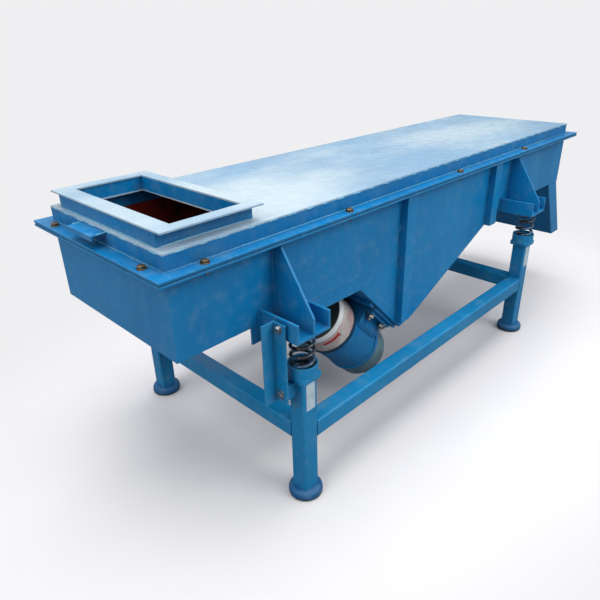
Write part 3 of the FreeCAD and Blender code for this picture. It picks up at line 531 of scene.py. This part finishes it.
PAINTS = {
    "wall": enamel("enamel_wall", PAINT, inside=True),
    "cover": enamel("enamel_cover", (10, 126, 188), gloss=0.22),
    # painted reflection: the top's blue is paler than the walls' and carries the painted sky reflection
    "top": enamel("enamel_top", (60, 140, 190), sky_sheen=0.9, gloss=0.2, dent=0.6, inside=True),
    "frame": enamel("enamel_frame", (20, 136, 190), dust=0.22, gloss=0.3),
    "motor": enamel("enamel_motor", (16, 124, 184), dust=0.12, gloss=0.26, ring=True),
    "seal": enamel("enamel_seal", (26, 99, 140), dust=0.1, gloss=0.5),
    "weld": enamel("enamel_weld", (120, 186, 216), dust=0.45, gloss=0.22),
    "primer": primer(),
    "spring": black_spring(),
    "foot": sprayed_foot(),
    "bolt": bare_metal("plated_bolt", (150, 124, 92), (84, 66, 50), 0.34),
    "shaft": bare_metal("ground_steel", (176, 176, 172), (120, 120, 118), 0.2, 90.0, 0.05),
    "weight": bare_metal("cast_iron", (92, 92, 92), (52, 50, 48), 0.5, 200.0, 0.3, 0.8),
    "mesh": woven_wire(),
    "silver": bare_metal("silver_bolt", (190, 190, 188), (120, 118, 114), 0.3, 160.0, 0.1),
    "cap_light": banded_cap(),
    "cap_dark": cast_cap("cap_dark", (112, 150, 160), (84, 112, 122), 0.3),
    "label": film("label_strip", LABEL, (150, 176, 190)),
    "arrow": film("arrow_film", ARROW, (150, 38, 30)),
    "band": film("band_film", BAND, (206, 178, 170)),
}

BY_NAME = (
    ("cover_sheet", "top"), ("cover", "cover"), ("inlet_flange", "top"), ("inlet", "cover"),
    ("leg", "frame"),
    ("rail", "frame"), ("spring_cups", "frame"), ("spring_bracket", "wall"), ("spring", "spring"),
    ("transport", "frame"), ("feet", "foot"), ("rim_gasket", "seal"), ("rim_bolts", "bolt"),
    ("brace_bolts", "bolt"), ("motor_foot_bolts", "bolt"), ("motor_casing", "motor"),
    ("motor_cap_upper", "cap_light"), ("motor_cap_lower", "cap_dark"), ("motor_base", "motor"),
    ("bearings", "shaft"), ("rotor", "shaft"), ("eccentric", "weight"), ("deck", "primer"),
    ("screen_frame", "primer"), ("screen_cloth", "mesh"),
)


def paint_nodes():
    for name, item in nodes.items():
        wanted = next((word for start, word in BY_NAME if name.startswith(start)), "wall")
        item.data.materials.clear()
        item.data.materials.append(PAINTS[wanted])


# ---------------------------------------------------------------- springs

def springs():
    for end in ("feed", "discharge"):
        for side in ("near", "far"):
            node = "spring_%s_%s" % (end, side)
            cup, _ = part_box("leg_%s_%s" % (end, side))
            low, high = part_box(node)
            centre = (low + high) / 2
            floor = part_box("spring_cups")[1].z - CUP_WALL
            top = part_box("spring_bracket_%s_%s" % (end, side))[0].z + STUB
            coil(node, centre, floor, top)


def coil(node, centre, floor, top, mean=28.5 * MM, wire=4.5 * MM, turns=5.2):
    """A compression spring with closed, ground ends, which stretches between frame and box."""
    mesh = bmesh.new()
    steps = int(turns * 40)
    dead = 0.8 / turns
    rise = top - floor - 2 * wire
    closed = 2 * wire * 0.8
    rings = []
    for step in range(steps + 1):
        share = step / steps
        angle = share * turns * 2 * math.pi
        if share < dead:
            height = closed * share / dead
        elif share > 1 - dead:
            height = rise - closed * (1 - share) / dead
        else:
            height = closed + (rise - 2 * closed) * (share - dead) / (1 - 2 * dead)
        spoke = Vector((math.cos(angle), math.sin(angle), 0))
        middle = Vector((centre.x, centre.y, floor + wire + height)) + spoke * mean
        ring = []
        for index in range(14):
            turn = 2 * math.pi * index / 14
            point = middle + spoke * wire * math.cos(turn) + Vector((0, 0, wire * math.sin(turn)))
            point.z = min(max(point.z, floor + 0.0002), top - 0.0002)
            ring.append(point)
        rings.append(ring)
    skin(mesh, rings)
    made = piece("coil_" + node, mesh, None, PAINTS["spring"], 60)
    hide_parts(node)
    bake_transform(made)


# ---------------------------------------------------------------- bolts

def rim_bolts():
    """Hexagon bolts through the cover's rim, with washers, and nuts underneath."""
    mesh = bmesh.new()
    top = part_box("rim_gasket")[1].z + PLATE
    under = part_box("box_rim_flange")[0].z
    line = -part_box("side_plate_near")[0].y + RIM_OUT / 2
    places = []
    for sign in (-1, 1):
        places += [(FEED_FACE + station, sign * line) for station in BOLT_STATIONS]
        places.append((FEED_FACE - RIM_OUT / 2, sign * BOLT_ACROSS))
        places.append((DISCHARGE_FACE + RIM_OUT / 2, sign * BOLT_ACROSS))
    for x, y in places:
        bolt(mesh, (x, y, top), (0, 0, 1), 10 * MM)
        bolt(mesh, (x, y, under), (0, 0, -1), 10 * MM, tail=4 * MM)
        lathe(mesh, (x, y, under), (0, 0, 1), [(0, 5 * MM), (top - under, 5 * MM)], 12)
    made = piece("hex_bolts_rim", mesh, "box", PAINTS["bolt"], 30)
    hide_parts("rim_bolts")


def motor_bolts():
    """The motors' foot bolts: large plated heads on thick washers."""
    mesh = bmesh.new()
    for middle in MOTORS.values():
        for down in (-FOOT_BOLT_ALONG, FOOT_BOLT_ALONG):
            for across in (-FOOT_BOLT_ACROSS, FOOT_BOLT_ACROSS):
                seat = middle + DOWNHILL * down + Vector((0, across, 0)) + TO_WALL * FOOT_BOLT_RISE
                bolt(mesh, seat, -TO_WALL, 14 * MM, tail=9 * MM)
                lathe(mesh, seat, TO_WALL, [(0, 5 * MM), (23 * MM, 5 * MM)], 12)
    made = piece("hex_bolts_motor", mesh, "box", PAINTS["silver"], 30)
    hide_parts("motor_foot_bolts")


def brace_bolts():
    """Long bolts of the transport braces; the upper ones pass freely through the brackets."""
    mesh = bmesh.new()
    head = FEED_FACE + BRACE_FACE - BRACE_SHEET
    for sign in (-1, 1):
        across = sign * BRACE_BOLT_ACROSS
        for level in (BRACE_BOLT_HIGH, BRACE_BOLT_LOW):
            bolt(mesh, (head, across, level), (-1, 0, 0), 10 * MM)
        threads = []
        for step in range(24):
            threads += [(step * 1.5 * MM, 4.6 * MM), ((step + 0.5) * 1.5 * MM, 5 * MM)]
        lathe(mesh, (head, across, BRACE_BOLT_HIGH), (1, 0, 0), threads, 16)
        bolt(mesh, (head + 27 * MM, across, BRACE_BOLT_HIGH), (1, 0, 0), 9.6 * MM, False, 3 * MM)
        lathe(mesh, (head, across, BRACE_BOLT_LOW), (1, 0, 0), [(0, 5 * MM), (BRACE_SHEET, 5 * MM)], 12)
    made = piece("hex_bolts_brace", mesh, "base", PAINTS["silver"], 30)
    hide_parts("brace_bolts")


# ---------------------------------------------------------------- welds

def ring_bead(mesh, centre, radius, wire, pitch=6 * MM):
    """A closed welding bead round an upright tube."""
    steps = int(2 * math.pi * radius / pitch * 4)
    rings = []
    for step in range(steps):
        angle = 2 * math.pi * step / steps
        tangent = (-math.sin(angle), math.cos(angle), 0)
        spot = Vector(centre) + Vector((math.cos(angle), math.sin(angle), 0)) * radius
        wide = wire * (1.0 - 0.2 * (step % 4) / 4 + chance.uniform(-0.04, 0.04))
        rings.append(ring_at(spot, basis(tangent), wide, 7))
    skin(mesh, rings, loop=True)


def box_welds():
    """Beads where the plates of the vibrating box meet."""
    mesh = bmesh.new()
    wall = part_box("side_plate_near")
    outer, floor, rim = -wall[0].y, wall[0].z, wall[1].z
    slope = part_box("hopper_plate_feed")[0]
    tip = slope.x + floor - slope.z
    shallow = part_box("hopper_plate_discharge")
    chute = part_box("discharge_spout")
    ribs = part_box("side_ribs")
    for sign in (-1, 1):
        y, seam = sign * outer, sign * (outer - PLATE)
        bead(mesh, (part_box("side_skirts")[0].x, y, floor), (shallow[1].x, y, floor), 1.4 * MM, 8 * MM, 6)
        bead(mesh, (chute[0].x, y, floor), (chute[0].x + SPOUT_GAP, y, floor), 2.2 * MM)
        corners = (((slope.x, floor), (tip, slope.z)),
                   ((tip + OUTLET, shallow[0].z), (shallow[1].x, floor)),
                   ((chute[0].x, floor), (chute[1].x - SPOUT_FOOT, chute[0].z)),
                   ((chute[0].x + SPOUT_GAP, floor), (chute[1].x, chute[0].z)))
        for start, end in corners:
            bead(mesh, (start[0], seam, start[1]), (end[0], seam, end[1]), 2.0 * MM, 6 * MM, 6)
        for edge in (ribs[0].x, ribs[0].x + RIB_WIDTH, ribs[1].x - RIB_WIDTH, ribs[1].x):
            foot = ribs[0].z if edge < ribs[0].x + 2 * RIB_WIDTH else floor
            stitches(mesh, (edge, y, foot), (edge, y, rim), 70 * MM, 38 * MM, 2.8 * MM)
        stitches(mesh, (FEED_FACE, y, rim), (DISCHARGE_FACE, y, rim), 160 * MM, 50 * MM, 2.6 * MM)
    for end in ("feed", "discharge"):
        for side, sign in (("near", -1), ("far", 1)):
            bracket_welds(mesh, "spring_bracket_%s_%s" % (end, side), sign * outer, sign)
    piece("weld_beads_box", mesh, "box", PAINTS["wall"], 50)


def bracket_welds(mesh, node, y, sign):
    low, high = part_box(node)
    middle = (low.x + high.x) / 2
    floor = low.z + STUB + SEAT_SHEET
    tip = (low.y if sign < 0 else high.y) - sign * 4 * MM
    for hand in (-1, 1):
        web = middle + hand * SEAT_SHEET / 2
        bead(mesh, (web, y, floor), (web, y, high.z), 2.7 * MM)
        bead(mesh, (web, y, floor), (web, tip, floor), 2.4 * MM)
        edge = low.x if hand < 0 else high.x
        bead(mesh, (edge, y, low.z + STUB), (edge, y, low.z + STUB + SEAT_SIDE), 2.7 * MM)
    bead(mesh, (low.x, y, low.z + STUB), (high.x, y, low.z + STUB), 2.2 * MM)


def cover_welds():
    """Short beads round the cover's edge and continuous ones round the inlet neck."""
    mesh = bmesh.new()
    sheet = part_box("cover_sheet")
    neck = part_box("inlet_neck")
    flange_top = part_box("rim_gasket")[1].z + PLATE
    for low, high, level, wire, broken in (
            (sheet[0], sheet[1], sheet[0].z, 2.1 * MM, True),
            (sheet[0], sheet[1], flange_top, 1.4 * MM, False),
            (neck[0], neck[1], neck[0].z, 3.0 * MM, False),
            (neck[0], neck[1], neck[1].z, 2.2 * MM, True)):
        corners = [(low.x, low.y, level), (high.x, low.y, level), (high.x, high.y, level),
                   (low.x, high.y, level)]
        for start, end in zip(corners, corners[1:] + corners[:1]):
            if broken:
                stitches(mesh, start, end, 62 * MM, 26 * MM, wire)
            else:
                bead(mesh, start, end, wire, 7 * MM, 6)
    cleat_low, cleat_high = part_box("cover_cleat")
    for y in (cleat_low.y, cleat_high.y):
        bead(mesh, (cleat_high.x, y, cleat_high.z), (cleat_high.x - 24 * MM, y, cleat_high.z), 1.8 * MM)
    piece("weld_beads_cover", mesh, "box", PAINTS["weld"], 50)


def frame_welds():
    """Beads round the ends of the rails, the leg tops and the spring cups."""
    mesh = bmesh.new()
    for rail, axis in (("rail_near", 0), ("rail_far", 0), ("rail_feed", 1), ("rail_discharge", 1)):
        low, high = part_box(rail)
        across = 1 - axis
        inset = 5 * MM
        for end in (low[axis], high[axis]):
            square = ((low[across] + inset, low.z), (high[across] - inset, low.z),
                      (high[across], low.z + inset), (high[across], high.z - inset),
                      (high[across] - inset, high.z), (low[across] + inset, high.z),
                      (low[across], high.z - inset), (low[across], low.z + inset))
            for start, finish in zip(square[0::2], square[1::2]):
                ends = []
                for offset, level in (start, finish):
                    spot = [0.0, 0.0, level]
                    spot[axis], spot[across] = end, offset
                    ends.append(spot)
                bead(mesh, ends[0], ends[1], 2.9 * MM)
    for end in ("feed", "discharge"):
        for side in ("near", "far"):
            low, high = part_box("leg_%s_%s" % (end, side))
            middle = (low + high) / 2
            corners = [(low.x + 5 * MM, low.y, high.z), (high.x, low.y + 5 * MM, high.z),
                       (high.x - 5 * MM, high.y, high.z), (low.x, high.y - 5 * MM, high.z)]
            tails = [(high.x - 5 * MM, low.y, high.z), (high.x, high.y - 5 * MM, high.z),
                     (low.x + 5 * MM, high.y, high.z), (low.x, low.y + 5 * MM, high.z)]
            for start, finish in zip(corners, tails):
                bead(mesh, start, finish, 2.6 * MM)
            ring_bead(mesh, (middle.x, middle.y, high.z + CUP_PLATE), CUP_RADIUS - 1 * MM, 1.6 * MM)
    for sign in (-1, 1):
        for hand in (-10 * MM, 10 * MM):
            y = sign * BRACE_BOLT_ACROSS + hand
            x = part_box("leg_feed_near")[0].x
            bead(mesh, (x, y, BRACE_BOLT_LOW - 19 * MM), (x, y, BRACE_BOLT_LOW + 19 * MM), 2.4 * MM)
    piece("weld_beads_frame", mesh, "base", PAINTS["frame"], 50)


# ---------------------------------------------------------------- strips and arrow

def plaque(name, centre, right, up, width, height, body, material):
    """A thin strip with rounded corners, stuck on a flat face."""
    mesh = bmesh.new()
    right, up = Vector(right), Vector(up)
    out = right.cross(up)
    corner = 2.5 * MM
    outline = []
    for across, rise, start in ((1, 1, 0), (-1, 1, 90), (-1, -1, 180), (1, -1, 270)):
        for step in range(5):
            angle = math.radians(start + step * 22.5)
            outline.append(right * (across * (width / 2 - corner) + corner * math.cos(angle))
                           + up * (rise * (height / 2 - corner) + corner * math.sin(angle)))
    skin(mesh, [[Vector(centre) + point + out * lift for point in outline]
                for lift in (0.05 * MM, 0.45 * MM)])
    return piece(name, mesh, body, material, 30)


def labels():
    """The plain pale strips on the two near legs."""
    low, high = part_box("leg_feed_near")
    plaque("label_leg_feed", (LABEL_FEED[0], low.y, LABEL_FEED[1]), (1, 0, 0), (0, 0, 1),
           30 * MM, 92 * MM, "base", PAINTS["label"])
    low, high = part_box("leg_discharge_near")
    plaque("label_leg_discharge", (LABEL_DISCHARGE[0], low.y, LABEL_DISCHARGE[1]), (1, 0, 0),
           (0, 0, 1), 30 * MM, 92 * MM, "base", PAINTS["label"])


def rotation_arrow(name, middle):
    """A plain curved arrow round an upper cap."""
    mesh = bmesh.new()
    shift = ARROW_SHIFT
    rings = []
    for turn, half in ARROW_STEPS:
        angle = math.radians(turn)
        spoke = Vector((0, math.cos(angle), 0)) + TO_WALL * math.sin(angle)
        rings.append([middle + DOWNHILL * (shift + reach) + spoke * (CAP_RADIUS + lift)
                      for reach, lift in ((-half, 0.05 * MM), (half, 0.05 * MM),
                                          (half, 0.5 * MM), (-half, 0.5 * MM))])
    skin(mesh, rings)
    piece(name, mesh, "box", PAINTS["arrow"], 30)


# ---------------------------------------------------------------- floor, lights and camera

PALE = linear((239, 239, 241))


def ray_kind(tree, kind):
    return tree.nodes.new("ShaderNodeLightPath").outputs[kind]


def studio_floor():
    """A pale floor that takes the object's shadow and melts into the backdrop further out."""
    reach = 14.0
    mesh = bmesh.new()
    corners = [mesh.verts.new((x, y, 0)) for x, y in ((-reach, -reach), (reach, -reach),
                                                      (reach, reach), (-reach, reach))]
    mesh.faces.new(corners)
    data = bpy.data.meshes.new("floor")
    mesh.to_mesh(data)
    mesh.free()
    floor = bpy.data.objects.new("floor", data)
    bpy.context.scene.collection.objects.link(floor)
    shader = Shader("floor")
    dust = shader.noise(1.3, 4.0)
    seen = shader.mix(shader.span(dust, 0.3, 0.7), linear((232, 229, 228)), linear((228, 225, 226)))
    tint = shader.mix(ray_kind(shader.tree, "Is Camera Ray"), linear((120, 124, 130)), seen)
    data.materials.append(shader.finish(base_color=tint, roughness=0.9, specular_ior_level=0.1))
    glow = shader.node("ShaderNodeEmission")
    glow.inputs["Color"].default_value = PALE
    oval = shader.node("ShaderNodeVectorMath", operation="MULTIPLY")
    shader.put(oval.inputs[0], shader.place)
    oval.inputs[1].default_value = (0.6, 1.0, 1.0)
    length = shader.node("ShaderNodeVectorMath", operation="LENGTH")
    shader.put(length.inputs[0], oval.outputs[0])
    far = shader.math("MULTIPLY", shader.span(length.outputs["Value"], 0.55, 1.25),
                      ray_kind(shader.tree, "Is Camera Ray"))
    blend = shader.node("ShaderNodeMixShader")
    shader.put(blend.inputs[0], far)
    shader.put(blend.inputs[1], shader.surface.outputs[0])
    shader.put(blend.inputs[2], glow.outputs[0])
    shader.put(shader.tree.nodes["Material Output"].inputs["Surface"], blend.outputs[0])


def studio_world():
    """A soft room that is brightest overhead; the camera sees it as a plain pale backdrop."""
    world = bpy.data.worlds.new("studio")
    bpy.context.scene.world = world
    world.use_nodes = True
    tree = world.node_tree
    room = tree.nodes["Background"]
    room.inputs["Color"].default_value = linear((224, 228, 232))
    where = tree.nodes.new("ShaderNodeSeparateXYZ")
    tree.links.new(tree.nodes.new("ShaderNodeTexCoord").outputs["Generated"], where.inputs[0])
    rise = tree.nodes.new("ShaderNodeMapRange")
    rise.interpolation_type = "SMOOTHSTEP"
    for name, value in (("From Min", -0.05), ("From Max", 0.8), ("To Min", 0.22), ("To Max", 1.15)):
        rise.inputs[name].default_value = value
    tree.links.new(where.outputs["Z"], rise.inputs["Value"])
    tree.links.new(rise.outputs["Result"], room.inputs["Strength"])
    pale = tree.nodes.new("ShaderNodeBackground")
    pale.inputs["Color"].default_value = PALE
    pale.inputs["Strength"].default_value = 1.0
    choice = tree.nodes.new("ShaderNodeMixShader")
    tree.links.new(ray_kind(tree, "Is Camera Ray"), choice.inputs[0])
    tree.links.new(room.outputs[0], choice.inputs[1])
    tree.links.new(pale.outputs[0], choice.inputs[2])
    tree.links.new(choice.outputs[0], tree.nodes["World Output"].inputs["Surface"])


def lights():
    lamp("sky", (0.0, 0.2, 4.2), (0.0, 0.0, 0.5), 3.2, 98)
    lamp("front", (0.8, -4.0, 3.0), (0.2, 0.0, 0.4), 2.4, 80)
    lamp("end", (-4.4, -0.2, 2.8), (-0.4, 0.0, 0.5), 2.2, 46)


def lamp(name, place, target, size, power):
    data = bpy.data.lights.new(name, "AREA")
    data.energy = power
    data.size = size
    made = bpy.data.objects.new(name, data)
    bpy.context.scene.collection.objects.link(made)
    made.location = place
    aim = Vector(target) - Vector(place)
    made.rotation_euler = aim.to_track_quat("-Z", "Y").to_euler()


def camera():
    """The photograph's viewpoint: 25 degrees above level, 45 degrees off the long side."""
    data = bpy.data.cameras.new("camera")
    data.sensor_width = 36.0
    data.lens = 32.38
    data.shift_y = -0.0184
    made = bpy.data.objects.new("camera", data)
    bpy.context.scene.collection.objects.link(made)
    heading, tilt, roll = math.radians(45.199), math.radians(-25.327), math.radians(-1.541)
    turn = (Matrix.Rotation(heading - math.pi / 2, 3, "Z")
            @ Matrix.Rotation(math.pi / 2 + tilt, 3, "X") @ Matrix.Rotation(roll, 3, "Z"))
    made.matrix_world = Matrix.Translation((-1.5378, -1.1211, 1.1267)) @ turn.to_4x4()
    bpy.context.scene.camera = made


paint_nodes()
springs()
rim_bolts()
motor_bolts()
brace_bolts()
box_welds()
cover_welds()
frame_welds()
labels()
for side, middle in MOTORS.items():
    rotation_arrow("turning_arrow_" + side, middle)
studio_floor()
studio_world()
lights()
camera()
bpy.context.scene.view_settings.view_transform = "Standard"
